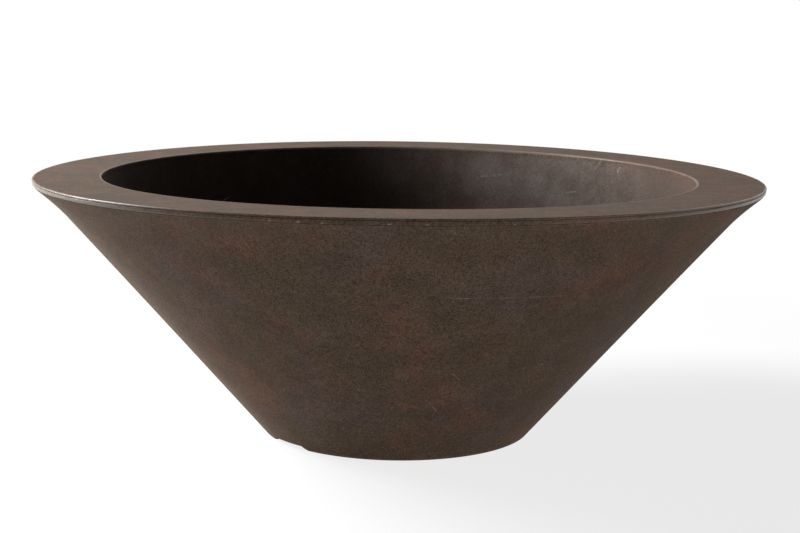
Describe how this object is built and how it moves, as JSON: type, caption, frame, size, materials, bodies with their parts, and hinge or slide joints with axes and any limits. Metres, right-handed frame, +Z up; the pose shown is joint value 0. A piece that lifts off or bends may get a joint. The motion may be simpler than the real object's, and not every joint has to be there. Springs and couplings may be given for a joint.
{
  "type": "bowl planter",
  "caption": "Round bowl planter with a conical outer shell, a drop-in liner under a broad flat rim, and pull-out drain plugs over a notched foot.",
  "frame": {"origin": "on the floor, at the centre of the foot ring", "axes": "+Z up along the axis of the bowl, -Y towards the viewer of the picture, +X to the viewer's right"},
  "size_m": [0.5995, 0.5996, 0.216],
  "materials": {
    "shell_plastic": "matt speckled dark brown, mottled, fine grain",
    "liner_plastic": "matt speckled dark brown, mottled, fine grain",
    "plug_rubber": "dull black rubber"
  },
  "bodies": {
    "shell": {"outer_shell": "shell_plastic"},
    "liner": {"rim_liner": "liner_plastic"},
    "plug_1": {"drain_plug_1": "plug_rubber"},
    "plug_2": {"drain_plug_2": "plug_rubber"},
    "plug_3": {"drain_plug_3": "plug_rubber"},
    "plug_4": {"drain_plug_4": "plug_rubber"},
    "plug_5": {"drain_plug_5": "plug_rubber"}
  },
  "joints": [
    {"name": "liner_lift", "type": "slide", "parent": "shell", "child": "liner", "axis": [0, 0, 1], "range_m": [0, 0.22]},
    {"name": "drain_plug_1_pull", "type": "slide", "parent": "liner", "child": "plug_1", "axis": [0, 0, 1], "range_m": [0, 0.21]},
    {"name": "drain_plug_2_pull", "type": "slide", "parent": "liner", "child": "plug_2", "axis": [0, 0, 1], "range_m": [0, 0.21]},
    {"name": "drain_plug_3_pull", "type": "slide", "parent": "liner", "child": "plug_3", "axis": [0, 0, 1], "range_m": [0, 0.21]},
    {"name": "drain_plug_4_pull", "type": "slide", "parent": "liner", "child": "plug_4", "axis": [0, 0, 1], "range_m": [0, 0.21]},
    {"name": "drain_plug_5_pull", "type": "slide", "parent": "liner", "child": "plug_5", "axis": [0, 0, 1], "range_m": [0, 0.21]}
  ]
}
